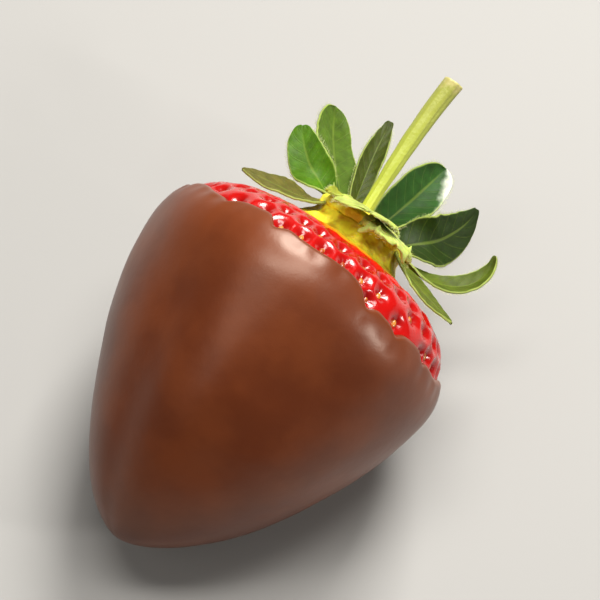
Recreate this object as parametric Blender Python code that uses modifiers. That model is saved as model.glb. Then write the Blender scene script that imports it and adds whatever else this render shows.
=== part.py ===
"""A chocolate coated strawberry with its leaves and stem, lying on its side.

Every piece is drawn in the berry's own frame: +Z runs from the tip up to the stem, and the
origin is the tip of the fruit under the chocolate. The empty berry_pose then lays the berry down,
its tip towards -Y and its stem towards +Y, with a small flat of chocolate on the floor at z = 0.
Angles round the berry run from +X over the side that ends up on top.
"""

import math

import bmesh
import bpy
from mathutils import Matrix, Vector

# Fruit: its profile rises from the tip as a taper and is rounded off at the shoulder
FRUIT_LENGTH = 0.0463
FRUIT_RADIUS = 0.0202
TIP_TAPER = 1.8
TIP_BLUNTNESS = 0.63
SHOULDER_SHARPNESS = 13.0
SHOULDER_POWER = 0.40
PROFILE_GAIN = 1.073
NECK_RADIUS = 0.0061
NECK_HEIGHT = 0.0028
NECK_FLARE = 0.0012
NECK_ROWS = 4
# Uneven girth: (share of the radius, waves round the berry, phase in degrees)
GIRTH_WAVES = ((0.022, 2, 0.0), (0.024, 3, 92.0), (0.008, 5, 100.0))
TIP_LEAN = Vector((-0.0013, 0.0003, 0.0))
TIP_LEAN_POWER = 4.5

# Chocolate coat
COAT_THICKNESS = 0.0013
GAP = 0.0003
COAT_GAP = 0.00045
RIM_HEIGHT = 0.0389
# Dip line: (rise in metres, waves round the berry, angle of its crest in degrees)
RIM_WAVES = ((0.0016, 1, 138.0), (0.0006, 3, 85.0), (0.0009, 7, 83.0))
LIP_WEIGHTS = (0.30, 0.62, 0.84, 0.95)

# Leaves
HUB_RADIUS = 0.0054
HUB_THICKNESS = 0.0020
HUB_BOSS_RADIUS = 0.0019
HUB_BOSS_HEIGHT = 0.0012
SEPAL_THICKNESS = 0.0005
SEPAL_BASE_SHARE = 0.30
SEPAL_WIDEST_AT = 0.50
SEPAL_TIP_SHARE = 0.12
SEPAL_TAPER = 2.0
CURL_POWER = 2.2
LOWER_WHORL = 0.0006
UPPER_WHORL = 0.0014
# name: angle round the stem, flare above level at the base, flare gained by the tip, twist,
# all in degrees; then length, width and height on the hub in metres, and the cupping
SEPALS = {
    "sepal_01": (166.0, -16.0, -4.0, 20.0, 0.0116, 0.0048, LOWER_WHORL, 0.08),
    "sepal_02": (190.0, 36.0, 4.0, 58.0, 0.0116, 0.0056, LOWER_WHORL, 0.10),
    "sepal_03": (219.0, 43.0, 0.0, 40.0, 0.0160, 0.0056, UPPER_WHORL, 0.06),
    "sepal_04": (247.0, 62.0, -2.0, 16.0, 0.0156, 0.0040, UPPER_WHORL, 0.15),
    "sepal_05": (281.0, 66.0, 6.0, -22.0, 0.0138, 0.0058, UPPER_WHORL, 0.14),
    "sepal_06": (320.0, 57.0, 6.0, -42.0, 0.0136, 0.0060, LOWER_WHORL, 0.08),
    "sepal_07": (346.0, 2.0, 115.0, -24.0, 0.0178, 0.0040, LOWER_WHORL, 0.16),
    "sepal_08": (9.0, -21.0, -2.0, -26.0, 0.0136, 0.0040, LOWER_WHORL, 0.10),
    "sepal_09": (53.0, -4.0, -4.0, -4.0, 0.0088, 0.0066, LOWER_WHORL, -0.12),
    "sepal_10": (90.0, -5.0, 0.0, -16.0, 0.0092, 0.0078, UPPER_WHORL, -0.05),
    "sepal_11": (131.0, 8.0, 30.0, 6.0, 0.0066, 0.0034, LOWER_WHORL, 0.15),
}

# Stem
STEM_LENGTH = 0.0200
STEM_RADIUS = 0.0011
STEM_FOOT_RADIUS = 0.00127
STEM_CUT_RADIUS = 0.00135
STEM_BEND = Vector((0.0009, -0.0008, 0.0))
STEM_POINTS = 7

# Rest pose
REST_PITCH = math.radians(17.0)
TIP_PLACE = Vector((0.000215, -0.033978, 0.01036))
CUTTER_SIZE = 0.1

# Mesh density
ROUND_SEGMENTS = 44
FRUIT_ROWS = 30
FRUIT_ROW_REACH = 0.93
COAT_ROWS = 24
COAT_ROW_POWER = 0.85
SEPAL_COLUMNS = 4
SEPAL_ROWS = 9


def clear_scene():
    for found in list(bpy.data.objects):
        bpy.data.objects.remove(found, do_unlink=True)


def make_collection(name):
    collection = bpy.data.collections.new(name)
    bpy.context.scene.collection.children.link(collection)
    return collection


def make_material(name, colour, roughness):
    material = bpy.data.materials.new(name)
    material.use_nodes = True
    shader = material.node_tree.nodes["Principled BSDF"]
    shader.inputs["Base Color"].default_value = (*colour, 1.0)
    shader.inputs["Roughness"].default_value = roughness
    shader.inputs["Metallic"].default_value = 0.0
    return material


def make_object(name, bm, material, collection, parent):
    mesh = bpy.data.meshes.new(name)
    bm.to_mesh(mesh)
    bm.free()
    mesh.materials.append(material)
    mesh.shade_smooth()
    made = bpy.data.objects.new(name, mesh)
    collection.objects.link(made)
    made.parent = parent
    return made


def waves(angle, terms):
    """Sum of cosine waves round the berry; angle in radians, crests in degrees."""
    return sum(size * math.cos(count * (angle - math.radians(crest))) for size, count, crest in terms)


def fruit_radius(share):
    """Radius of the round fruit at a share of its length, from 0 at the tip to 1 at the crown."""
    tip = (1.0 - (1.0 - share) ** TIP_TAPER) ** TIP_BLUNTNESS
    shoulder = (1.0 - share**SHOULDER_SHARPNESS) ** SHOULDER_POWER
    return FRUIT_RADIUS * PROFILE_GAIN * tip * shoulder


def on_fruit(angle, share):
    """Point of the uneven fruit surface at an angle round it and a share of its length."""
    share = min(max(share, 0.0), 1.0)
    girth = 1.0 + waves(angle, GIRTH_WAVES) * math.sin(math.pi * share)
    radius = fruit_radius(share) * girth
    lean = TIP_LEAN * (1.0 - share) ** TIP_LEAN_POWER
    return Vector((radius * math.cos(angle), -radius * math.sin(angle), share * FRUIT_LENGTH)) + lean


def neck_share():
    """Share of the length at which the shoulders have closed in to the neck."""
    low, high = 0.8, 1.0
    for _ in range(40):
        middle = (low + high) / 2
        if fruit_radius(middle) > NECK_RADIUS + NECK_FLARE:
            low = middle
        else:
            high = middle
    return low


def eased(step):
    """Even steps from 0 to 1, drawn closer together at both ends."""
    return (1.0 - math.cos(math.pi * step)) / 2


def sphere_place(vert, rows):
    """Angle and row of a vertex of a unit UV sphere whose lowest pole is the tip."""
    angle = math.atan2(-vert.co.y, vert.co.x)
    row = round((1.0 - math.acos(max(-1.0, min(1.0, vert.co.z))) / math.pi) * rows)
    return angle, row


def build_fruit(material, collection, pose):
    """Red flesh: a blunt cone with round shoulders that closes into a short pale neck."""
    rows = FRUIT_ROWS + NECK_ROWS
    top = neck_share()
    bm = bmesh.new()
    bmesh.ops.create_uvsphere(bm, u_segments=ROUND_SEGMENTS, v_segments=rows, radius=1.0)
    for vert in bm.verts:
        angle, row = sphere_place(vert, rows)
        if row <= FRUIT_ROWS:
            share = top * eased(row / FRUIT_ROWS * FRUIT_ROW_REACH) / eased(FRUIT_ROW_REACH)
            vert.co = on_fruit(angle, share)
            continue
        rise = (row - FRUIT_ROWS) / (NECK_ROWS - 1)
        if rise > 1.0:
            vert.co = Vector((0.0, 0.0, top * FRUIT_LENGTH + NECK_HEIGHT))
            continue
        radius = NECK_RADIUS + NECK_FLARE * (1.0 - rise) ** 2
        height = top * FRUIT_LENGTH + NECK_HEIGHT * rise
        vert.co = Vector((radius * math.cos(angle), -radius * math.sin(angle), height))
    return make_object("strawberry_flesh", bm, material, collection, pose)


def rim_share(angle):
    """Share of the fruit's length that the chocolate reaches at an angle round it."""
    return (RIM_HEIGHT + waves(angle, RIM_WAVES)) / FRUIT_LENGTH


def build_coat(material, collection, pose, cutter):
    """Chocolate shell: an open cup over the fruit, thickened outwards and thinned at its lip."""
    bm = bmesh.new()
    bmesh.ops.create_uvsphere(bm, u_segments=ROUND_SEGMENTS, v_segments=2 * COAT_ROWS, radius=1.0)
    above = [vert for vert in bm.verts if sphere_place(vert, 2 * COAT_ROWS)[1] > COAT_ROWS]
    bmesh.ops.delete(bm, geom=above, context="VERTS")
    lip = {}
    for vert in bm.verts:
        angle, row = sphere_place(vert, 2 * COAT_ROWS)
        climb = (1.0 - math.cos(0.5 * math.pi * row / COAT_ROWS)) ** COAT_ROW_POWER
        vert.co = on_fruit(angle, rim_share(angle) * climb)
        lip[vert.index] = COAT_ROWS - row
    bm.normal_update()
    offsets = [vert.normal * COAT_GAP for vert in bm.verts]
    for vert, offset in zip(bm.verts, offsets):
        vert.co += offset
    coat = make_object("chocolate_coat", bm, material, collection, pose)
    group = coat.vertex_groups.new(name="thickness")
    for index, below in lip.items():
        weight = LIP_WEIGHTS[below] if below < len(LIP_WEIGHTS) else 1.0
        group.add([index], weight, "REPLACE")
    shell = coat.modifiers.new("Shell", "SOLIDIFY")
    shell.thickness = COAT_THICKNESS
    shell.offset = 1.0
    shell.vertex_group = group.name
    foot = coat.modifiers.new("Flat foot", "BOOLEAN")
    foot.operation = "DIFFERENCE"
    foot.solver = "EXACT"
    foot.object = cutter
    return coat


def crown_height():
    return neck_share() * FRUIT_LENGTH + NECK_HEIGHT


def build_hub(material, collection, pose):
    """Green disc that the leaves and the stem grow from: a turned profile."""
    base = crown_height() + GAP
    top = base + HUB_THICKNESS
    outline = (
        (0.0, top + HUB_BOSS_HEIGHT),
        (HUB_BOSS_RADIUS * 0.8, top + HUB_BOSS_HEIGHT),
        (HUB_BOSS_RADIUS, top + HUB_BOSS_HEIGHT * 0.4),
        (HUB_RADIUS * 0.8, top),
        (HUB_RADIUS, top - HUB_THICKNESS * 0.35),
        (HUB_RADIUS, base + HUB_THICKNESS * 0.2),
        (HUB_RADIUS * 0.9, base),
        (0.0, base),
    )
    bm = bmesh.new()
    points = [bm.verts.new((radius, 0.0, height)) for radius, height in outline]
    for first, second in zip(points, points[1:]):
        bm.edges.new((first, second))
    hub = make_object("calyx_hub", bm, material, collection, pose)
    turn = hub.modifiers.new("Turn", "SCREW")
    turn.steps = turn.render_steps = 24
    turn.use_merge_vertices = True
    turn.merge_threshold = 0.00001
    turn.use_smooth_shade = True
    return hub


def leaf_width(along):
    """Half width of a leaf, as a share of its widest, from its base at 0 to its tip at 1."""
    if along < SEPAL_WIDEST_AT:
        swell = math.sin(0.5 * math.pi * along / SEPAL_WIDEST_AT)
        return SEPAL_BASE_SHARE + (1.0 - SEPAL_BASE_SHARE) * swell
    taper = (along - SEPAL_WIDEST_AT) / (1.0 - SEPAL_WIDEST_AT)
    return SEPAL_TIP_SHARE + (1.0 - SEPAL_TIP_SHARE) * (1.0 - taper**SEPAL_TAPER)


def leaf_line(flare, curl, length, steps):
    """Points (out, up, lean) of a leaf's midline, from its base to its tip."""
    out, up, line = 0.0, 0.0, []
    for step in range(steps + 1):
        along = step / steps
        lean = math.radians(flare + curl * along**CURL_POWER)
        line.append((out, up, lean))
        out += math.cos(lean) * length / steps
        up += math.sin(lean) * length / steps
    return line


def build_sepal(name, numbers, material, collection, pose):
    """One leaf: a grid bent along its midline, cupped and twisted, then given its thickness."""
    turn, flare, curl, twist, length, width, height, cup = numbers
    angle, twist = math.radians(turn), math.radians(twist)
    outwards = Vector((math.cos(angle), -math.sin(angle), 0.0))
    sideways = Vector((-math.sin(angle), -math.cos(angle), 0.0))
    upwards = Vector((0.0, 0.0, 1.0))
    clear = GAP + SEPAL_THICKNESS / 2 * math.sin(math.radians(abs(flare)))
    base = outwards * (HUB_RADIUS + clear) + upwards * (crown_height() + GAP + height)
    line = leaf_line(flare, curl, length, SEPAL_ROWS)
    bm = bmesh.new()
    bmesh.ops.create_grid(bm, x_segments=SEPAL_COLUMNS, y_segments=SEPAL_ROWS, size=1.0)
    for vert in bm.verts:
        across = vert.co.x
        row = round((vert.co.y + 1.0) / 2 * SEPAL_ROWS)
        out, up, lean = line[row]
        along = row / SEPAL_ROWS
        half = leaf_width(along) * width / 2
        rise = outwards * -math.sin(lean) + upwards * math.cos(lean)
        turned = twist * min(1.0, 2.0 * along)
        side = sideways * math.cos(turned) + rise * math.sin(turned)
        over = rise * math.cos(turned) - sideways * math.sin(turned)
        middle = base + outwards * out + upwards * up
        vert.co = middle + side * (half * across) + over * (2 * cup * half * across**2)
    leaf = make_object(name, bm, material, collection, pose)
    skin = leaf.modifiers.new("Thickness", "SOLIDIFY")
    skin.thickness = SEPAL_THICKNESS
    skin.offset = 0.0
    return leaf


def build_stem(material, collection, pose):
    """Stem: a slightly bent tube, a little wider where it was cut."""
    start = crown_height() + 2 * GAP + HUB_THICKNESS + HUB_BOSS_HEIGHT
    curve = bpy.data.curves.new("stem", "CURVE")
    curve.dimensions = "3D"
    curve.bevel_depth = STEM_RADIUS
    curve.bevel_resolution = 3
    curve.use_fill_caps = True
    spline = curve.splines.new("POLY")
    spline.points.add(STEM_POINTS - 1)
    for step, point in enumerate(spline.points):
        along = step / (STEM_POINTS - 1)
        place = Vector((0.0, 0.0, start + STEM_LENGTH * along)) + STEM_BEND * along**2
        point.co = (*place, 1.0)
        foot = (STEM_FOOT_RADIUS / STEM_RADIUS - 1.0) * (1.0 - min(1.0, 3 * along))
        point.radius = 1.0 + foot + (STEM_CUT_RADIUS / STEM_RADIUS - 1.0) * along**6
    curve.materials.append(material)
    stem = bpy.data.objects.new("stem", curve)
    collection.objects.link(stem)
    stem.parent = pose
    return stem


def build_floor_cutter(collection):
    """Slab under the floor plane, which trims the coat to the flat that it rests on."""
    bm = bmesh.new()
    bmesh.ops.create_cube(bm, size=CUTTER_SIZE, matrix=Matrix.Translation((0.0, 0.0, -CUTTER_SIZE / 2)))
    mesh = bpy.data.meshes.new("floor_cutter")
    bm.to_mesh(mesh)
    bm.free()
    cutter = bpy.data.objects.new("floor_cutter", mesh)
    cutter.hide_render = True
    cutter.display_type = "WIRE"
    collection.objects.link(cutter)
    return cutter


def build():
    clear_scene()
    parts = make_collection("chocolate_coated_strawberry")
    cutters = make_collection("cutters")
    pose = bpy.data.objects.new("berry_pose", None)
    pose.location = TIP_PLACE
    pose.rotation_euler = (REST_PITCH - math.pi / 2, 0.0, 0.0)
    parts.objects.link(pose)

    fruit_red = make_material("fruit_red", (0.58, 0.02, 0.012), 0.25)
    chocolate = make_material("milk_chocolate", (0.16, 0.055, 0.022), 0.3)
    leaf_green = make_material("leaf_green", (0.13, 0.24, 0.03), 0.5)
    stem_green = make_material("stem_green", (0.42, 0.48, 0.08), 0.5)

    build_fruit(fruit_red, parts, pose)
    build_coat(chocolate, parts, pose, build_floor_cutter(cutters))
    build_hub(leaf_green, parts, pose)
    for name, numbers in SEPALS.items():
        build_sepal(name, numbers, leaf_green, parts, pose)
    build_stem(stem_green, parts, pose)


build()
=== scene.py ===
"""A strawberry dipped in milk chocolate, lying on its side with its leaves and its cut stem."""

import math
import random
from collections import namedtuple

import bmesh
import bpy
import numpy as np
from mathutils import Matrix, Vector, noise


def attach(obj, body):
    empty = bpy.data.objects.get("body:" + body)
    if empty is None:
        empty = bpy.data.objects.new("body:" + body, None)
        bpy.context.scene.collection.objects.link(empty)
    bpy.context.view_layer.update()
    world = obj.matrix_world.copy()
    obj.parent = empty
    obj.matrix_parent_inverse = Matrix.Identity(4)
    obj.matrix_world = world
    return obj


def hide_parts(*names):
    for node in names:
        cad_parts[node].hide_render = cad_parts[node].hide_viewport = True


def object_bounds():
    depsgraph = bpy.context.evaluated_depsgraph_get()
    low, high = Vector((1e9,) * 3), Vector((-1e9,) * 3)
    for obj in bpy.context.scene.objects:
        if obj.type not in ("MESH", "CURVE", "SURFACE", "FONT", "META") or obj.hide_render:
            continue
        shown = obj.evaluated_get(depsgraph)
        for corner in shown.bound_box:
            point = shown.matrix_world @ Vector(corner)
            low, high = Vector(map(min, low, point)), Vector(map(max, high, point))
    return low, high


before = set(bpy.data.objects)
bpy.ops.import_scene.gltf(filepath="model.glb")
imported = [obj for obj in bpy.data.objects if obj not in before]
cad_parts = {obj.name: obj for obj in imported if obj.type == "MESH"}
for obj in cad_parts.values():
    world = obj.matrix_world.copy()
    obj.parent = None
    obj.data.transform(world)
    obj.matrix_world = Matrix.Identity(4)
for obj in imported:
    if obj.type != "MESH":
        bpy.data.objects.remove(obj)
cad_low, cad_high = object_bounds()

# ---------------------------------------------------------------------------------------------
# The fruit: a ripe strawberry, a soft red flesh whose skin swells between its sunk seeds and
# closes over flat shoulders into a pale yellow neck. It is drawn in the berry's own frame, with
# the tip at the origin and the stem along +Z, and is then laid down on its side.
REST_PITCH = math.radians(17.0)
TIP_PLACE = Vector((0.000215, -0.033978, 0.01036))
lay_down = Matrix.Translation(TIP_PLACE) @ Matrix.Rotation(REST_PITCH - math.pi / 2, 4, "X")

FRUIT_LENGTH = 0.0463
FRUIT_RADIUS = 0.0202
TIP_TAPER = 1.8
TIP_BLUNTNESS = 0.63
SHOULDER_SHARPNESS = 13.0
SHOULDER_POWER = 0.40
PROFILE_GAIN = 1.073
NECK_SHARE = 0.9936
NECK_HEIGHT = 0.0028
CROWN_HEIGHT = NECK_SHARE * FRUIT_LENGTH + NECK_HEIGHT
NECK_RADIUS = 0.0065
NECK_FOOT_SHARE = 0.9880
NECK_SWEEP = 0.0014
NECK_RIM = 0.0022
NECK_FLARE = 0.0004
NECK_SHIFT = Vector((0.0010, 0.0, 0.0))
GIRTH_WAVES = ((0.022, 2, 0.0), (0.024, 3, 92.0), (0.008, 5, 100.0))
TIP_LEAN = Vector((-0.0013, 0.0003, 0.0))
TIP_LEAN_POWER = 4.5

FRUIT_SEGMENTS = 560
HIDDEN_ROWS = 14
SHOWN_ROWS = 112
NECK_ROWS = 26
CAP_ROWS = 4
SHOWN_FROM = 0.76
ROW_BUNCHING = 1.7
PIT_FADE_ROWS = 6

PIT_DEPTH = 0.00056
PIT_WIDTH = 0.00104
PIT_SWELL = 0.00040
PIT_REACH = 0.0018
SEED_SPACING = 0.0032
SEED_RING_SPACING = SEED_SPACING * 0.87
SEED_CLEARANCE = 0.0021
SEEDLESS_NECK = 0.0034
SEED_RINGS_ABOVE = 0.70
SEED_TURN_JITTER = 0.12
SEED_HEIGHT_JITTER = 0.0003
# Seeds that lie on the dip line: (angle round the berry in degrees, height in metres)
EDGE_SEEDS = (
    (102.0, 0.0412),
    (59.0, 0.0399),
    (43.0, 0.0400),
    (24.0, 0.0392),
    (125.0, 0.0412),
    (158.0, 0.0417),
)
# The line down the middle of the side that lies upwards, along which the seed rings are spaced
UPPER_SIDE = 1.4
# Bumps of the skin and of the neck: (height, size)
SKIN_LUMPS = (0.00012, 0.0045)
NECK_LUMPS = (0.00065, 0.0019)
# The skin turns pale inside the first radius, and is palest a second distance further in
PALE_RADIUS = 0.0152
PALE_BAND = 0.0074
PALE_ABOVE = 0.03


def paint(red, green, blue):
    """Linear colour from the 0 to 255 values of a paint card."""
    steps = [value / 255 for value in (red, green, blue)]
    linear = [step / 12.92 if step <= 0.04045 else ((step + 0.055) / 1.055) ** 2.4 for step in steps]
    return (*linear, 1.0)


def waves(angle, terms):
    """Sum of cosine waves round the berry, for numbers or for arrays of angles in radians."""
    return sum(size * np.cos(count * (angle - math.radians(crest))) for size, count, crest in terms)


def fruit_surface(angle, share):
    """Points of the smooth fruit at arrays of angles and of shares of its length."""
    tip = (1.0 - (1.0 - share) ** TIP_TAPER) ** TIP_BLUNTNESS
    shoulder = (1.0 - share**SHOULDER_SHARPNESS) ** SHOULDER_POWER
    girth = 1.0 + waves(angle, GIRTH_WAVES) * np.sin(math.pi * share)
    radius = FRUIT_RADIUS * PROFILE_GAIN * tip * shoulder * girth
    lean = (1.0 - share) ** TIP_LEAN_POWER
    across = radius * np.cos(angle) + TIP_LEAN.x * lean
    down = -radius * np.sin(angle) + TIP_LEAN.y * lean
    return np.stack((across, down, share * FRUIT_LENGTH), axis=-1)


def ball(segments, rows):
    """A sphere of vertices, with the angle and the row from the tip of each of them."""
    bm = bmesh.new()
    bmesh.ops.create_grid(bm, x_segments=segments, y_segments=rows, size=1.0)
    for vert in bm.verts:
        turn, tilt = math.pi * vert.co.x, math.pi / 2 * vert.co.y
        vert.co = (math.cos(tilt) * math.cos(turn), math.cos(tilt) * math.sin(turn), math.sin(tilt))
    bmesh.ops.remove_doubles(bm, verts=bm.verts, dist=1e-5)
    places = np.array([vert.co for vert in bm.verts])
    angle = np.arctan2(-places[:, 1], places[:, 0])
    row = np.rint((1.0 - np.arccos(np.clip(places[:, 2], -1.0, 1.0)) / math.pi) * rows)
    return bm, angle, row


def move_to(bm, places):
    for vert, place in zip(bm.verts, places):
        vert.co = place


def normals_of(bm):
    bm.normal_update()
    return np.array([vert.normal for vert in bm.verts])


def ripples(places, size, seed):
    """Smooth noise between about -1 and 1 at each place, with swellings of the given size."""
    shift = Vector((seed * 7.3, seed * 3.1, seed * 5.7))
    return np.array([noise.noise(Vector(place) / size + shift) for place in places])


def as_piece(name, bm, finish, replaced=()):
    """Lays a finished mesh down, makes it a piece of the berry and gives it its material."""
    bmesh.ops.transform(bm, matrix=lay_down, verts=bm.verts)
    mesh = bpy.data.meshes.new(name)
    bm.to_mesh(mesh)
    bm.free()
    mesh.shade_smooth()
    mesh.materials.append(finish)
    piece = bpy.data.objects.new(name, mesh)
    bpy.context.scene.collection.objects.link(piece)
    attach(piece, "root")
    if replaced:
        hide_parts(*replaced)
    return piece


def mark(bm, name, values):
    """Keeps one number for each vertex, which the material can read."""
    layer = bm.verts.layers.float.new(name)
    for vert, value in zip(bm.verts, values):
        vert[layer] = value


def seed_places():
    """Rings of seeds from the neck down over the shoulders, a little uneven, as (angle, share)."""
    rng = random.Random(4)
    kept = [(math.radians(turn), height / FRUIT_LENGTH) for turn, height in EDGE_SEEDS]
    spots = [fruit_surface(np.array(turn), np.array(share)) for turn, share in kept]
    shares = np.linspace(SEED_RINGS_ABOVE, NECK_SHARE - 0.0005, 1200)
    line = fruit_surface(np.full_like(shares, UPPER_SIDE), shares)
    arc = np.concatenate(((0.0,), np.cumsum(np.linalg.norm(np.diff(line, axis=0), axis=1))))
    ring = 0
    reach = arc[-1] - SEEDLESS_NECK
    while reach > 0.0:
        share = float(np.interp(reach, arc, shares))
        radius = np.linalg.norm(fruit_surface(np.array(UPPER_SIDE), np.array(share))[:2])
        count = max(6, round(2 * math.pi * radius / SEED_SPACING))
        for step in range(count):
            shift = rng.uniform(-SEED_TURN_JITTER, SEED_TURN_JITTER)
            turn = 2 * math.pi * (step + 0.5 * (ring % 2) + shift) / count
            height = reach + rng.uniform(-SEED_HEIGHT_JITTER, SEED_HEIGHT_JITTER)
            place = float(np.interp(height, arc, shares))
            spot = fruit_surface(np.array(turn), np.array(place))
            if min(np.linalg.norm(spot - other) for other in spots[: len(EDGE_SEEDS)]) > SEED_CLEARANCE:
                kept.append((turn, place))
                spots.append(spot)
        reach -= SEED_RING_SPACING
        ring += 1
    return kept, np.array(spots)


seed_turns, seed_spots = seed_places()


def nearest_seed(places):
    """Distance from each place to the middle of its nearest seed."""
    near = np.full(len(places), 1.0)
    for spot in seed_spots:
        near = np.minimum(near, np.linalg.norm(places - spot, axis=1))
    return near


def pitted(near):
    """How far the skin stands out from the smooth fruit, at a distance from a seed."""
    pit = -PIT_DEPTH * np.exp(-((near / PIT_WIDTH) ** 2) * 1.4)
    swell = -PIT_SWELL * np.exp(-((near / PIT_REACH) ** 2) * 1.6)
    return pit + swell + 0.35 * PIT_SWELL


class Value:
    """An output of a material's node. Python's operators on it add that material's Math nodes."""

    def __init__(self, finish, socket):
        self.finish = finish
        self.socket = socket

    def math(self, operation, *values):
        return self.finish.node("ShaderNodeMath", {"operation": operation}, dict(enumerate(values)))

    def __add__(self, other):
        return self.math("ADD", self, other)

    def __radd__(self, other):
        return self.math("ADD", other, self)

    def __sub__(self, other):
        return self.math("SUBTRACT", self, other)

    def __rsub__(self, other):
        return self.math("SUBTRACT", other, self)

    def __mul__(self, other):
        return self.math("MULTIPLY", self, other)

    def __rmul__(self, other):
        return self.math("MULTIPLY", other, self)

    def __abs__(self):
        return self.math("ABSOLUTE", self)


class Finish:
    """A material under construction, with the Principled shader that its nodes feed."""

    def __init__(self, name, **constants):
        self.material = bpy.data.materials.new(name)
        self.material.use_nodes = True
        self.tree = self.material.node_tree
        self.shader = self.tree.nodes["Principled BSDF"]
        for socket, value in constants.items():
            self.feed(socket.replace("_", " "), value)

    def plug(self, socket, value):
        if isinstance(value, Value):
            self.tree.links.new(value.socket, socket)
        else:
            socket.default_value = value

    def feed(self, socket, value):
        self.plug(self.shader.inputs[socket], value)

    def node(self, kind, settings=None, sockets=None, output=0):
        """Adds any node: its settings first, then the values or links of its sockets."""
        made = self.tree.nodes.new(kind)
        for name, value in (settings or {}).items():
            if name == "stops":
                while len(made.color_ramp.elements) < len(value):
                    made.color_ramp.elements.new(0.5)
                for element, (place, colour) in zip(made.color_ramp.elements, value):
                    element.position = place
                    element.color = colour
            else:
                setattr(made, name, value)
        for name, value in (sockets or {}).items():
            self.plug(made.inputs[name], value)
        return Value(self, made.outputs[output])

    def places(self):
        return self.node("ShaderNodeTexCoord", output="Object")

    def number(self, name):
        return self.node("ShaderNodeAttribute", {"attribute_name": name}, output="Fac")

    def cloud(self, size, detail=2.0, rough=0.5):
        """Smooth noise from 0 to 1 whose patches have the given size in metres."""
        sockets = {"Vector": self.places(), "Scale": 1.0 / size, "Detail": detail, "Roughness": rough}
        return self.node("ShaderNodeTexNoise", None, sockets)

    def ramp(self, value, *stops):
        return self.node("ShaderNodeValToRGB", {"stops": stops}, {"Fac": value})

    def mix(self, share, first, second):
        sockets = {0: share, 6: first, 7: second}
        return self.node("ShaderNodeMix", {"data_type": "RGBA"}, sockets, output=2)

    def smooth(self, value, low, high):
        """0 below low, 1 above high, and a smooth step between them."""
        sockets = {"Value": value, "From Min": low, "From Max": high}
        return self.node("ShaderNodeMapRange", {"interpolation_type": "SMOOTHSTEP"}, sockets)

    def relief(self, height, depth, strength=1.0):
        """Feeds the shader's normal with bumps as deep, in metres, as depth."""
        sockets = {"Strength": strength, "Distance": depth, "Height": height}
        self.feed("Normal", self.node("ShaderNodeBump", None, sockets))


rows = HIDDEN_ROWS + SHOWN_ROWS + NECK_ROWS + CAP_ROWS
bm, angle, row = ball(FRUIT_SEGMENTS, rows)
hidden = SHOWN_FROM * (1.0 - np.cos(math.pi / 2 * np.clip(row / HIDDEN_ROWS, 0, 1)))
shown_step = np.clip((row - HIDDEN_ROWS) / SHOWN_ROWS, 0, 1)
shown = (NECK_FOOT_SHARE - SHOWN_FROM) * (1.0 - (1.0 - shown_step) ** ROW_BUNCHING)
places = fruit_surface(angle, np.clip(hidden + shown, 0.0, NECK_FOOT_SHARE))
rise = np.clip((row - HIDDEN_ROWS - SHOWN_ROWS) / NECK_ROWS, 0, 1)[:, None]
close = np.clip((rows - row) / CAP_ROWS, 0, 1)[:, None]
foot = fruit_surface(angle, np.full_like(angle, NECK_FOOT_SHARE))
before = fruit_surface(angle, np.full_like(angle, NECK_FOOT_SHARE - 0.002))
onwards = (foot - before) / np.linalg.norm(foot - before, axis=1)[:, None]
ring = np.stack((np.cos(angle), -np.sin(angle), np.zeros_like(angle)), axis=-1)
rim_middle = np.array(NECK_SHIFT) + np.array((0.0, 0.0, CROWN_HEIGHT - NECK_RIM))
top = ring * NECK_RADIUS * close + np.array(NECK_SHIFT) + np.array((0.0, 0.0, CROWN_HEIGHT))
below_top = ring * (NECK_RADIUS + NECK_FLARE) + rim_middle
curve = (1 - rise) ** 3 * foot + 3 * (1 - rise) ** 2 * rise * (foot + onwards * NECK_SWEEP)
curve = curve + 3 * (1 - rise) * rise**2 * below_top + rise**3 * top
rise = rise[:, 0]
places = np.where((rise > 0)[:, None], curve, places)
move_to(bm, places)
near = nearest_seed(places)
outwards = normals_of(bm)
neck_lumps = NECK_LUMPS[0] * ripples(places, NECK_LUMPS[1], 2) * np.clip(rise * 1.5, 0, 1)
lumps = SKIN_LUMPS[0] * ripples(places, SKIN_LUMPS[1], 1) + neck_lumps
fade_in = np.clip((row - HIDDEN_ROWS) / PIT_FADE_ROWS, 0, 1)
shift = pitted(near) * fade_in * np.clip(1.0 - rise * 2.5, 0, 1) + lumps
move_to(bm, places + outwards * (shift * np.clip(close[:, 0] * 2 - 1, 0, 1))[:, None])
out_from_axis = np.hypot(places[:, 0] - NECK_SHIFT.x, places[:, 1])
paleness = np.clip((PALE_RADIUS - out_from_axis) / PALE_BAND, 0.0, 1.0)
mark(bm, "paleness", paleness * (places[:, 2] > PALE_ABOVE))
# Where the seed pits lie, for the painted shade in them
mark(bm, "pit", np.exp(-((near / PIT_WIDTH) ** 2)) * (rise < 0.2))

skin = Finish("strawberry_skin", Coat_Roughness=0.08)
skin.feed("Subsurface Weight", 0.15)
skin.feed("Subsurface Radius", (1.0, 0.25, 0.12))
skin.feed("Subsurface Scale", 0.0015)
pale = skin.number("paleness") + (skin.cloud(0.0022) - 0.5) * 0.30
flesh = skin.ramp(
    pale,
    (0.0, paint(178, 9, 5)),
    (0.30, paint(198, 18, 7)),
    (0.52, paint(218, 60, 10)),
    (0.72, paint(240, 172, 26)),
    (0.92, paint(238, 228, 50)),
)
blotches = skin.smooth(skin.cloud(0.0014, 2.0), 0.38, 0.72) * skin.smooth(pale, 0.66, 0.90)
flesh = skin.mix(blotches * 0.75, flesh, paint(186, 126, 18))
# Painted shade: the skin is painted darker red in the seed pits
skin.feed("Base Color", skin.mix(skin.number("pit") * 0.65, flesh, paint(124, 5, 5)))
skin.feed("Coat Weight", 0.4 - 0.35 * skin.smooth(pale, 0.5, 0.8))
skin.feed("Roughness", 0.22 + 0.3 * skin.smooth(pale, 0.5, 0.8))
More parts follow.
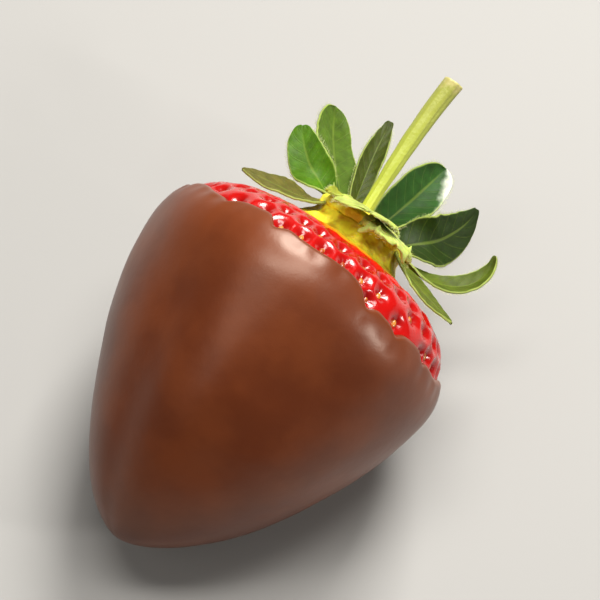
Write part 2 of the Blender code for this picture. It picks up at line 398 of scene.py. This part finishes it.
skin.relief(skin.cloud(0.0006, 3.0) + skin.cloud(0.0022) * 0.6, 0.00006, 0.6)
as_piece("strawberry_skin", bm, skin.material, ["strawberry_flesh"])

# ---------------------------------------------------------------------------------------------
# The seeds: small hard achenes, one at the bottom of each pit, pointing towards the neck. They
# are tear shaped, straw coloured on the ripe side and brown where they are wet.
SEED_LENGTH = 0.00135
SEED_WIDTH = 0.00080
SEED_HEIGHT = 0.00052
SEED_SHOWN_ABOVE = 0.0355
SEED_LEAN = 0.35
SEED_SUNK = PIT_DEPTH + 0.65 * PIT_SWELL - 0.00004


def surface_frame(turn, share):
    """Place on the smooth fruit, its outward direction and the direction towards the neck."""
    step = 0.002
    here, above, beside = (
        Vector(fruit_surface(np.array(a), np.array(s)))
        for a, s in ((turn, share), (turn, min(share + step, 0.9999)), (turn + step, share))
    )
    along = (above - here).normalized()
    out = (beside - here).cross(along).normalized()
    if out.dot(Vector((math.cos(turn), -math.sin(turn), 0.3))) < 0:
        out = -out
    return here, out, along


def scatter(shape, matrices):
    """One mesh that holds a copy of a small shape at every matrix."""
    copied = bpy.data.meshes.new("copied")
    shape.to_mesh(copied)
    shape.free()
    gathered = bmesh.new()
    for matrix in matrices:
        placed = copied.copy()
        placed.transform(matrix)
        gathered.from_mesh(placed)
        bpy.data.meshes.remove(placed)
    bpy.data.meshes.remove(copied)
    return gathered


husk = bmesh.new()
bmesh.ops.create_uvsphere(husk, u_segments=8, v_segments=6, radius=0.5)
bmesh.ops.rotate(husk, matrix=Matrix.Rotation(-math.pi / 2, 3, "X"), verts=husk.verts)
for vert in husk.verts:
    taper = 1.0 - 0.9 * max(vert.co.y, 0.0)
    vert.co.x *= taper
    vert.co.z *= 0.5 + 0.5 * taper
rng = random.Random(9)
seats = []
for turn, share in seed_turns:
    if share * FRUIT_LENGTH < SEED_SHOWN_ABOVE:
        continue
    here, out, along = surface_frame(turn, share)
    side = along.cross(out)
    lean = rng.uniform(-SEED_LEAN, SEED_LEAN)
    pointing = along * math.cos(lean) + side * math.sin(lean)
    crosswise = side * math.cos(lean) - along * math.sin(lean)
    turned = Matrix((crosswise, pointing, out)).transposed().to_4x4()
    size = Matrix.Diagonal((SEED_WIDTH, SEED_LENGTH, SEED_HEIGHT, 1.0))
    sunk = here - out * SEED_SUNK
    seats.append(Matrix.Translation(sunk) @ turned @ size)
bm = scatter(husk, seats)

achene = Finish("seed_husk", Roughness=0.32, Coat_Weight=0.3)
wet = achene.smooth(achene.cloud(0.0016), 0.4, 0.6)
achene.feed("Base Color", achene.mix(wet, paint(150, 62, 20), paint(196, 128, 44)))
achene.relief(achene.cloud(0.0002), 0.00003)
as_piece("seeds", bm, achene.material)

# ---------------------------------------------------------------------------------------------
# The chocolate: tempered milk chocolate that the berry was dipped in and that set on it. It is
# a shell of one thickness with a rounded lip; the dip line dodges the seed pits, the outside
# keeps a few slow swells and one shallow run, and it sets flat where the berry lies.
COAT_OUTSIDE = 0.00175
COAT_INSIDE = 0.00003
RIM_HEIGHT = 0.0398
RIM_WAVES = ((0.0014, 1, 138.0), (0.0005, 3, 85.0), (0.0004, 9, 30.0))
# Notches that the dip line makes round seed pits: (angle in degrees, depth, half width in metres)
RIM_NOTCHES = (
    (102.0, 0.0011, 0.0012),
    (59.0, 0.0012, 0.0012),
    (43.0, 0.0007, 0.0010),
    (24.0, 0.0007, 0.0010),
    (125.0, 0.0006, 0.0010),
    (158.0, 0.0005, 0.0012),
)
LIP_ROUND = 0.0006
LIP_THICKNESS = 0.0007
LIP_BACK = 0.0060
LIP_ZONE = 0.0012
# Slow and quick unevenness of the outside: (height, size)
SLOW_SWELLS = (0.00034, 0.0115)
QUICK_SWELLS = (0.00006, 0.0045)
SWELL_FADE = 0.003
# The shallow run and the ridge beside it: (height, angle and half width in degrees)
RUNS = ((-0.00055, 118.0, 13.0), (0.00038, 88.0, 16.0))
# How much of the pits under it the lip still follows, and over what distance
PIT_FOLLOWING = 0.45
PIT_FOLLOWED = 0.0011
COAT_SEGMENTS = 380
OUTER_ROWS = 170
LIP_ROWS = 12
INNER_ROWS = 24


def rim_height(angle):
    """Height of the chocolate's edge over the tip of the fruit, round the berry."""
    height = RIM_HEIGHT + waves(angle, RIM_WAVES)
    for turn, depth, half in RIM_NOTCHES:
        gap = (np.degrees(angle) - turn + 180.0) % 360.0 - 180.0
        height = height - depth * np.exp(-((np.radians(gap) * FRUIT_RADIUS / half) ** 2))
    return height


def coat_thickness(below, below_calm):
    """A round lip at the edge itself, then a slow rise behind it that ignores the small notches."""
    lip = np.sqrt(np.clip(1.0 - (1.0 - np.clip(below / LIP_ROUND, 0, 1)) ** 2, 0, 1))
    back = 1.0 - (1.0 - np.clip(below_calm / LIP_BACK, 0, 1)) ** 2
    return lip * (LIP_THICKNESS + (COAT_OUTSIDE - LIP_THICKNESS) * back)


rows = OUTER_ROWS + LIP_ROWS + INNER_ROWS
bm, angle, row = ball(COAT_SEGMENTS, rows)
rim = rim_height(angle) / FRUIT_LENGTH
outer_step = np.clip(row / OUTER_ROWS, 0, 1)
climb = (1.0 - np.cos(math.pi / 2 * outer_step)) ** 0.85
lip_zone = LIP_ZONE / FRUIT_LENGTH
lip_step = np.clip((row - OUTER_ROWS) / LIP_ROWS, 0, 1)
inner_step = np.clip((row - OUTER_ROWS - LIP_ROWS) / INNER_ROWS, 0, 1)
share = (rim - lip_zone) * climb + lip_zone * (1.0 - (1.0 - lip_step) ** 2)
share = np.where(inner_step > 0, rim * np.cos(math.pi / 2 * inner_step) ** 1.4, share)
base = fruit_surface(angle, np.clip(share, 0.0, 0.9999))
move_to(bm, base)
outwards = normals_of(bm)
outwards[row > OUTER_ROWS + LIP_ROWS] *= -1.0
turned_in = (outwards * (base - np.array((0.0, 0.0, 0.03)))).sum(axis=1) < 0
outwards[turned_in] *= -1.0
below = np.maximum((rim - share) * FRUIT_LENGTH, 0.0)
calm_rim = RIM_HEIGHT + waves(angle, RIM_WAVES[:2])
wall = COAT_INSIDE + coat_thickness(below, np.maximum(calm_rim - share * FRUIT_LENGTH, 0.0))
near = nearest_seed(base)
swells = SLOW_SWELLS[0] * ripples(base, SLOW_SWELLS[1], 3)
swells = swells + QUICK_SWELLS[0] * ripples(base, QUICK_SWELLS[1], 4)
runs = sum(size * np.exp(-(((np.degrees(angle) - middle) / half) ** 2)) for size, middle, half in RUNS)
swells = swells + runs * np.sin(math.pi * np.clip(share / rim, 0, 1)) ** 0.8
followed = pitted(near) * PIT_FOLLOWING * np.exp(-below / PIT_FOLLOWED)
fade = np.clip(below / SWELL_FADE, 0, 1)
lift = np.where(inner_step > 0, COAT_INSIDE, wall + swells * fade + followed)
places = base + outwards * lift[:, None]
move_to(bm, places)

chocolate = Finish("milk_chocolate")
chocolate.feed("Specular IOR Level", 0.62)
chocolate.feed("Specular Tint", (1.0, 0.86, 0.74, 1.0))
shade = chocolate.smooth(chocolate.cloud(0.009, 3.0), 0.35, 0.65)
chocolate.feed("Base Color", chocolate.mix(shade, paint(99, 44, 18), paint(112, 53, 23)))
chocolate.feed("Roughness", 0.29 + chocolate.cloud(0.006, 4.0, 0.6) * 0.12)
chocolate.relief(chocolate.cloud(0.0012, 3.0) + chocolate.cloud(0.00025) * 0.25, 0.00004, 0.5)
coat = as_piece("chocolate_shell", bm, chocolate.material, ["chocolate_coat"])
for vert in coat.data.vertices:
    vert.co.z = max(vert.co.z, 0.0)

# ---------------------------------------------------------------------------------------------
# The leaf hub: the yellow green disc on top of the neck, a little lumpy, that the leaves and the
# stem grow out of.
HUB_RADIUS = 0.0067
HUB_FOOT = CROWN_HEIGHT - 0.0009
HUB_TOP = CROWN_HEIGHT + 0.0022
HUB_SEGMENTS = 120
HUB_ROWS = 48
# The small boss in the middle that the stem stands on
BOSS_HEIGHT = 0.0011
BOSS_RADIUS = 0.0022
# Coarse and fine bumps: (height, size)
HUB_LUMPS = (0.00030, 0.0016)
HUB_GRAIN = (0.00012, 0.0007)

bm, angle, _ = ball(HUB_SEGMENTS, HUB_ROWS)
places = np.array([vert.co for vert in bm.verts])
flat = np.sign(places[:, 2]) * np.abs(places[:, 2]) ** 0.8
lobes = 1.0 + 0.035 * np.cos(11 * angle) + 0.03 * np.cos(5 * angle + 1)
width = HUB_RADIUS * np.clip(1.0 - np.abs(flat) ** 3.2, 0, 1) ** 0.5 * lobes
length = np.hypot(places[:, 0], places[:, 1]) + 1e-9
boss = BOSS_HEIGHT * np.exp(-((width / BOSS_RADIUS) ** 2)) * (flat > 0)
places[:, 0] = places[:, 0] * width / length + NECK_SHIFT.x * np.clip(width / 0.003, 0, 1)
places[:, 1] *= width / length
places[:, 2] = (HUB_TOP + HUB_FOOT) / 2 + (HUB_TOP - HUB_FOOT) / 2 * flat + boss
move_to(bm, places)
outwards = normals_of(bm)
bumps = HUB_LUMPS[0] * ripples(places, HUB_LUMPS[1], 6) + HUB_GRAIN[0] * ripples(places, HUB_GRAIN[1], 7)
move_to(bm, places + outwards * bumps[:, None])
hub = Finish("leaf_hub", Roughness=0.50)
hub.feed("Specular IOR Level", 0.3)
hub_tone = hub.ramp(
    hub.cloud(0.0015, 3.0),
    (0.34, paint(232, 194, 44)),
    (0.46, paint(242, 222, 60)),
    (0.60, paint(234, 232, 70)),
    (0.74, paint(212, 228, 96)),
)
hub.feed("Base Color", hub_tone)
hub.relief(hub.cloud(0.0005, 3.0), 0.00008)
as_piece("calyx_disc", bm, hub.material, ["calyx_hub"])

# ---------------------------------------------------------------------------------------------
# The leaves: eleven sepals in two rings round the stem, thin and soft, each bent and twisted in
# its own way. They have a folded midrib, side veins and a paler, slightly ragged edge.
LEAF_THICKNESS = 0.00034
LEAF_COLUMNS = 18
LEAF_ROWS = 44
LEAF_BASE_SHARE = 0.36
LEAF_TIP_SHARE = 0.05
LEAF_ROOT = 0.0016
LEAF_FOOT_RADIUS = 0.0062
LEAF_FOOT_HEIGHT = CROWN_HEIGHT + 0.0003
DIP_SHARE = 0.15
SPINE_STEPS = 240
HAIR_STEPS = 100
HAIRLESS_STEPS = 14
VEIN_PAIRS = 9.0
VEIN_SLANT = 1.6
VEIN_HEIGHT = 0.00007
EDGE_WAVE = 0.00022
EDGE_WAVES = 9.0
LOWER_RING = 0.0006
UPPER_RING = 0.0014
TOP_RING = 0.0019
# turn: angle round the stem in degrees. flare: angle outwards from the hub's plane at the leaf's
# foot. curl: flare gained by its tip. twist: turn of the blade. dip: extra flare of its first few
# millimetres. ring: height on the hub. length and width: in metres. cup: how far its edges rise.
# widest: where along it, from 0 to 1. roundness: of its end, low is round. paint: of the blade,
# which for 06 is partly painted shade and for 09 and 10 partly painted light.
# ragged: how uneven its edge is.
Leaf = namedtuple("Leaf", "turn flare curl twist dip ring length width cup widest roundness paint ragged")
LEAVES = {
    "01": Leaf(153, -8.4, -5.6, 29, -42, LOWER_RING, 0.0124, 0.0061, 0.04, 0.45, 0.89, (90, 84, 30), 0.03),
    "02": Leaf(191, 27, 30, 86, 0, LOWER_RING, 0.0116, 0.0058, 0.03, 0.47, 0.5, (64, 104, 3), 0.02),
    "03": Leaf(217, 36.5, 20, 14, 0, UPPER_RING, 0.0176, 0.0068, 0.08, 0.64, 0.5, (70, 96, 20), 0.03),
    "04": Leaf(232, 65, 8, 34, 0, UPPER_RING, 0.0148, 0.0034, 0.14, 0.59, 0.72, (52, 62, 7), 0.04),
    "05": Leaf(277, 57, 4, -22, 0, UPPER_RING, 0.0160, 0.0067, 0.2, 0.57, 0.58, (30, 72, 22), 0.02),
    "06": Leaf(315, 42, 56, -84, 0, LOWER_RING, 0.0140, 0.0072, 0.02, 0.47, 0.95, (18, 40, 1), 0.04),
    "07": Leaf(332, 6.6, 115, -38, -24, LOWER_RING, 0.0173, 0.0036, 0.13, 0.56, 0.74, (76, 90, 20), 0.03),
    "08": Leaf(13, -13, -0.5, -23, -37, LOWER_RING, 0.0129, 0.0042, 0.03, 0.45, 0.84, (78, 88, 12), 0.03),
    "09": Leaf(56, -14, -8, -4, 0, UPPER_RING, 0.0060, 0.0076, -0.14, 0.55, 0.45, (176, 188, 96), 0.3),
    "10": Leaf(83, -10, -5, -10, 0, TOP_RING, 0.0060, 0.0094, -0.1, 0.55, 0.45, (168, 180, 88), 0.08),
    "11": Leaf(124, -10, -10, 10, 0, UPPER_RING, 0.0030, 0.0034, 0.15, 0.45, 0.9, (150, 156, 44), 0.05),
}
# The one leaf with a painted highlight: a pale sheen painted near its tip and along one edge
SHEEN_PAINTED_LEAF = "05"
PAINTED_SHEEN_AMOUNT = 0.85


def leaf_half_width(along, widest, roundness):
    """Half width of a leaf, as a share of its widest, from its base at 0 to its tip at 1."""
    swell = np.sin(math.pi / 2 * np.clip(along / widest, 0, 1))
    taper = np.clip((along - widest) / (1.0 - widest), 0, 1)
    narrow = LEAF_TIP_SHARE + (1.0 - LEAF_TIP_SHARE) * np.clip(1.0 - taper**2, 0, 1) ** roundness
    return np.where(along < widest, LEAF_BASE_SHARE + (1.0 - LEAF_BASE_SHARE) * swell, narrow)


def leaf_spine(leaf):
    """Middle line of a leaf: places and the three directions along, across and over it."""
    root = LEAF_ROOT / (leaf.length + LEAF_ROOT)
    angle = math.radians(leaf.turn)
    outwards = Vector((math.cos(angle), -math.sin(angle), 0.0))
    sideways = Vector((-math.sin(angle), -math.cos(angle), 0.0))
    upwards = Vector((0.0, 0.0, 1.0))
    middle = NECK_SHIFT + outwards * (LEAF_FOOT_RADIUS - LEAF_ROOT) + upwards * (LEAF_FOOT_HEIGHT + leaf.ring)
    spine = []
    for step in range(SPINE_STEPS + 1):
        along = max(0.0, (step / SPINE_STEPS - root) / (1.0 - root))
        bend = min(1.0, step / SPINE_STEPS / root)
        bent = (leaf.flare + leaf.dip * math.exp(-along / DIP_SHARE)) * bend * bend * (3.0 - 2.0 * bend)
        lean = math.radians(bent + leaf.curl * along**2.2)
        turned = math.radians(leaf.twist) * min(1.0, 2.0 * along)
        ahead = outwards * math.cos(lean) + upwards * math.sin(lean)
        rise = upwards * math.cos(lean) - outwards * math.sin(lean)
        side = sideways * math.cos(turned) + rise * math.sin(turned)
        over = rise * math.cos(turned) - sideways * math.sin(turned)
        spine.append((middle.copy(), ahead, side, over))
        middle += ahead * ((leaf.length + LEAF_ROOT) / SPINE_STEPS)
    return spine


def leaf_place(leaf, spine, along, across, seed):
    """Place on a leaf at a share of its length and across it, from -1 to 1."""
    middle, _, side, over = spine[round(along * SPINE_STEPS)]
    edge = abs(across) ** 3
    wander = noise.noise(Vector((along * 5.0, across * 0.8, seed)))
    tooth = noise.noise(Vector((along * 26.0, math.copysign(3.0, across), seed)))
    half = float(leaf_half_width(np.array(along), leaf.widest, leaf.roundness)) * leaf.width / 2
    half *= 1.0 + (0.05 * wander + leaf.ragged * tooth) * edge
    lift = leaf.cup * half * 2 * across**2 + 0.10 * half * abs(across) * (1.0 - along)
    lift -= 2.0 * leaf.ragged * half * edge * tooth
    lift += 0.12 * half * wander * across + EDGE_WAVE * math.sin(EDGE_WAVES * along + seed) * across**2
    vein_wave = abs(math.sin(math.pi * (along * VEIN_PAIRS - abs(across) * VEIN_SLANT)))
    veins = VEIN_HEIGHT * vein_wave * min(1.0, 4 * abs(across))
    return middle + side * (half * across) + over * (lift + veins)


green = Finish("leaf_blade")
green.feed("Specular IOR Level", 0.14)
green.feed("Subsurface Weight", 0.3)
green.feed("Subsurface Radius", (0.4, 1.0, 0.15))
green.feed("Subsurface Scale", 0.0004)
blade_map = green.node("ShaderNodeUVMap", {"uv_map": "blade"})
across = green.node("ShaderNodeSeparateXYZ", None, {0: blade_map})
along = green.node("ShaderNodeSeparateXYZ", None, {0: blade_map}, output=1)
off_middle = abs(across * 2.0 - 1.0)
tone = green.node("ShaderNodeAttribute", {"attribute_name": "tone"}, output="Color")
patches = 0.30 + green.cloud(0.0014, 3.0) * 1.35
blade = green.node("ShaderNodeVectorMath", {"operation": "SCALE"}, {0: tone, "Scale": patches})
vein_angle = (along * VEIN_PAIRS - off_middle * VEIN_SLANT) * math.pi
vein_wave = abs(green.node("ShaderNodeMath", {"operation": "SINE"}, {0: vein_angle}))
veins = (1.0 - green.smooth(vein_wave, 0.0, 0.28)) * green.smooth(off_middle, 0.04, 0.2)
midrib = 1.0 - green.smooth(off_middle, 0.02, 0.10)
ribs = (veins * 0.10 + midrib * 0.32) * (1.0 - green.smooth(along, 0.75, 1.0))
blade = green.mix(ribs, blade, paint(128, 148, 56))
margin = green.smooth(off_middle + (green.cloud(0.0008) - 0.5) * 0.08, 0.91, 1.0)
blade = green.mix(margin * 0.5, blade, paint(190, 204, 110))
blade = green.mix((1.0 - green.smooth(along, 0.02, 0.24)) * 0.75, blade, paint(166, 160, 40))
blade = green.mix(green.number("under") * 0.06, blade, paint(120, 136, 72))
# Painted highlight: a pale sheen painted on one leaf near its tip and along one edge
bloom = green.smooth(across + along * 0.9 + (green.cloud(0.0012) - 0.5) * 0.3, 1.45, 1.75)
blade = green.mix(bloom * green.number("bloom"), blade, paint(232, 238, 220))
green.feed("Base Color", blade)
green.feed("Roughness", 0.40 + green.cloud(0.0012, 3.0) * 0.2)
green.relief(green.cloud(0.00035, 3.0) * 0.5 - veins * 0.4, 0.00007, 0.8)

hair_roots = []
for number, leaf in LEAVES.items():
    seed = 3.7 * int(number)
    spine = leaf_spine(leaf)
    bm = bmesh.new()
    bmesh.ops.create_grid(bm, x_segments=LEAF_COLUMNS, y_segments=LEAF_ROWS, size=1.0)
    grid = [(vert.co.x, (vert.co.y + 1.0) / 2) for vert in bm.verts]
    flat_map = bm.loops.layers.uv.new("blade")
    for face in bm.faces:
        for loop in face.loops:
            across_share, along_share = grid[loop.vert.index]
            loop[flat_map].uv = ((across_share + 1.0) / 2, along_share)
    for vert, (across_share, along_share) in zip(bm.verts, grid):
        vert.co = leaf_place(leaf, spine, along_share, across_share, seed)
    bm.normal_update()
    upwards = spine[SPINE_STEPS // 2][3]
    if sum(face.normal.dot(upwards) for face in bm.faces) < 0:
        bmesh.ops.reverse_faces(bm, faces=bm.faces)
    under = bm.faces.layers.float.new("under")
    bmesh.ops.solidify(bm, geom=bm.faces[:], thickness=-LEAF_THICKNESS)
    bm.normal_update()
    for face in bm.faces:
        middle = face.calc_center_median()
        closest = min(spine[::12], key=lambda entry: (entry[0] - middle).length)
        face[under] = 1.0 if face.normal.dot(closest[3]) < 0 else 0.0
    tone_layer = bm.verts.layers.float_color.new("tone")
    for vert in bm.verts:
        vert[tone_layer] = paint(*leaf.paint)
    # Strength of the painted highlight, on the one leaf that carries it
    mark(bm, "bloom", [PAINTED_SHEEN_AMOUNT if number == SHEEN_PAINTED_LEAF else 0.0] * len(bm.verts))
    piece = as_piece("leaf_" + number, bm, green.material, ["sepal_" + number])
    round_off = piece.modifiers.new("Soft edges", "SUBSURF")
    round_off.levels = round_off.render_levels = 1
    for side in (-1.0, 1.0):
        for step in range(HAIRLESS_STEPS, HAIR_STEPS):
            root = leaf_place(leaf, spine, step / HAIR_STEPS, side, seed)
            _, ahead, beside, over = spine[round(step / HAIR_STEPS * SPINE_STEPS)]
            hair_roots.append((root, ahead, beside * side, over))

# ---------------------------------------------------------------------------------------------
# The leaf hairs: fine pale hairs that stand along the edges of the leaves and catch the light.
HAIR_LENGTH = 0.00045
HAIR_RADIUS = 0.000022
HAIR_TIP = 0.2

spike = bmesh.new()
bmesh.ops.create_cone(
    spike, cap_ends=True, segments=4, radius1=HAIR_RADIUS, radius2=HAIR_RADIUS * HAIR_TIP, depth=1.0
)
rng = random.Random(21)
seats = []
for root, ahead, beside, over in hair_roots:
    aim = ahead * rng.uniform(0.2, 1.0) + beside * rng.uniform(0.5, 1.2) + over * rng.uniform(-0.5, 0.5)
    length = HAIR_LENGTH * rng.uniform(0.5, 1.2)
    turned = aim.to_track_quat("Z", "Y").to_matrix().to_4x4()
    place = Matrix.Translation(root + aim.normalized() * length * 0.42)
    seats.append(place @ turned @ Matrix.Diagonal((1.0, 1.0, length, 1.0)))
bm = scatter(spike, seats)
hair = Finish("leaf_hair", Roughness=0.5)
hair.feed("Base Color", hair.mix(hair.cloud(0.002), paint(190, 204, 120), paint(222, 226, 176)))
as_piece("leaf_hairs", bm, hair.material)

# ---------------------------------------------------------------------------------------------
# The stem: the fruit's own stalk, pale green with fine ribs, bent a little and cut off square
# with a knife; its end is cut into rings, slightly dished and paler than its sides.
STEM_LENGTH = 0.0200
STEM_RADIUS = 0.00122
STEM_FOOT_RADIUS = 0.00078
STEM_CUT_RADIUS = 0.00136
STEM_LEAN = Vector((-0.0014, 0.0, 0.0))
STEM_BEND = Vector((0.0011, -0.0008, 0.0))
STEM_SEGMENTS = 48
STEM_ROWS = 90
STEM_START = CROWN_HEIGHT + 0.0022
STEM_FULL_LENGTH = STEM_LENGTH + 0.0012
# Rings cut into the end faces: dark skin, pale flesh, pith
CUT_RINGS = (0.10, 0.14, 0.40)
CUT_DISH = 0.00016

bm = bmesh.new()
bmesh.ops.create_cone(bm, cap_ends=True, segments=STEM_SEGMENTS, radius1=1.0, radius2=1.0, depth=1.0)
lengthwise = [edge for edge in bm.edges if abs(edge.verts[0].co.z - edge.verts[1].co.z) > 0.5]
bmesh.ops.subdivide_edges(bm, edges=lengthwise, cuts=STEM_ROWS)
ends = [face for face in bm.faces if len(face.verts) > 4]
for face in ends:
    for width in CUT_RINGS:
        bmesh.ops.inset_region(bm, faces=[face], thickness=width)
    bmesh.ops.poke(bm, faces=[face])
for vert in bm.verts:
    along = vert.co.z + 0.5
    angle = math.atan2(vert.co.y, vert.co.x)
    out = math.hypot(vert.co.x, vert.co.y)
    foot = (STEM_FOOT_RADIUS / STEM_RADIUS - 1.0) * math.exp(-((along / 0.42) ** 2))
    cut = (STEM_CUT_RADIUS / STEM_RADIUS - 1.0) * along**5
    rib = 0.035 * math.cos(7 * angle + 2.0 * along) + 0.02 * math.cos(13 * angle)
    lump = 0.06 * noise.noise(Vector((along * 7.0, math.cos(angle), math.sin(angle))))
    radius = STEM_RADIUS * out * (1.0 + foot + cut + (rib + lump) * out)
    dish = -CUT_DISH * (1.0 - out) if along > 0.999 else 0.0
    middle = Vector((0.0, 0.0, STEM_START + STEM_FULL_LENGTH * along + dish))
    middle += STEM_LEAN * along + STEM_BEND * along**3
    vert.co = middle + Vector((radius * math.cos(angle), radius * math.sin(angle), 0.0))
bmesh.ops.recalc_face_normals(bm, faces=bm.faces)
mark(bm, "along", [(vert.co.z - STEM_START) / STEM_FULL_LENGTH for vert in bm.verts])
stalk = Finish("stem_skin", Roughness=0.42)
tone = stalk.number("along") + (stalk.cloud(0.0012, 3.0) - 0.5) * 0.25
stem_tone = stalk.ramp(
    tone,
    (0.0, paint(176, 188, 60)),
    (0.5, paint(170, 180, 66)),
    (0.93, paint(160, 164, 72)),
    (1.0, paint(190, 182, 110)),
)
stalk.feed("Base Color", stem_tone)
stalk.relief(stalk.cloud(0.0004, 3.0), 0.00006)
as_piece("stalk", bm, stalk.material, ["stem"])

# ---------------------------------------------------------------------------------------------
# The studio: a plain pale floor, a large soft light from behind and above, a weak fill, a long
# light overhead and a small one at the side that draw the gloss on the chocolate, and a camera
# that looks down on the berry, which lies slightly turned in its view.
FLOOR_SIZE = 3.0
WORLD_COLOUR = (1.0, 0.985, 0.96, 1.0)
WORLD_STRENGTH = 0.07
LIGHT_COLOUR = (1.0, 0.97, 0.93)
floor_mesh = bpy.data.meshes.new("floor")
bm = bmesh.new()
bmesh.ops.create_grid(bm, x_segments=1, y_segments=1, size=FLOOR_SIZE / 2)
bm.to_mesh(floor_mesh)
bm.free()
floor = bpy.data.objects.new("floor", floor_mesh)
bpy.context.scene.collection.objects.link(floor)
table_top = Finish("pale_floor", Roughness=0.6)
table_top.feed("Base Color", paint(156, 155, 152))
floor_mesh.materials.append(table_top.material)

world = bpy.data.worlds.new("studio")
bpy.context.scene.world = world
world.use_nodes = True
sky = world.node_tree.nodes["Background"]
sky.inputs["Color"].default_value = WORLD_COLOUR
sky.inputs["Strength"].default_value = WORLD_STRENGTH

berry = Vector((0.0, 0.0, (cad_low.z + cad_high.z) / 2))


def soft_light(name, direction, distance, size, power):
    lamp = bpy.data.lights.new(name, "AREA")
    lamp.shape = "RECTANGLE"
    lamp.size = size[0]
    lamp.size_y = size[1]
    lamp.energy = power
    lamp.color = LIGHT_COLOUR
    made = bpy.data.objects.new(name, lamp)
    aim = Vector(direction).normalized()
    made.location = berry + aim * distance
    made.rotation_euler = aim.to_track_quat("Z", "Y").to_euler()
    bpy.context.scene.collection.objects.link(made)


soft_light("key", direction=(-0.16, 0.64, 0.75), distance=0.75, size=(0.30, 0.36), power=8.3)
soft_light("fill", direction=(-0.34, -0.54, 0.77), distance=0.9, size=(0.5, 0.4), power=0.7)
soft_light("overhead", direction=(-0.08, 0.10, 1.0), distance=0.7, size=(0.60, 0.16), power=3.8)
soft_light("side", direction=(0.86, 0.18, 0.45), distance=0.6, size=(0.035, 0.11), power=1.1)

VIEW_AZIMUTH = math.radians(25.0)
VIEW_ELEVATION = math.radians(63.5)
VIEW_ROLL = math.radians(12.0)
VIEW_DISTANCE = 0.49
VIEW_HEIGHT = 0.078
AIM_RIGHT = 0.001
AIM_UP = 0.001
back = Vector(
    (
        math.sin(VIEW_AZIMUTH) * math.cos(VIEW_ELEVATION),
        -math.cos(VIEW_AZIMUTH) * math.cos(VIEW_ELEVATION),
        math.sin(VIEW_ELEVATION),
    )
)
turned = back.to_track_quat("Z", "Y").to_matrix() @ Matrix.Rotation(VIEW_ROLL, 3, "Z")
lens = bpy.data.cameras.new("camera")
lens.sensor_width = 36.0
lens.lens = lens.sensor_width * VIEW_DISTANCE / VIEW_HEIGHT
lens.clip_start = 0.01
camera = bpy.data.objects.new("camera", lens)
camera.location = berry + back * VIEW_DISTANCE + turned @ Vector((AIM_RIGHT, AIM_UP, 0.0))
camera.rotation_euler = turned.to_euler()
bpy.context.scene.collection.objects.link(camera)
bpy.context.scene.camera = camera
bpy.context.scene.view_settings.view_transform = "Standard"
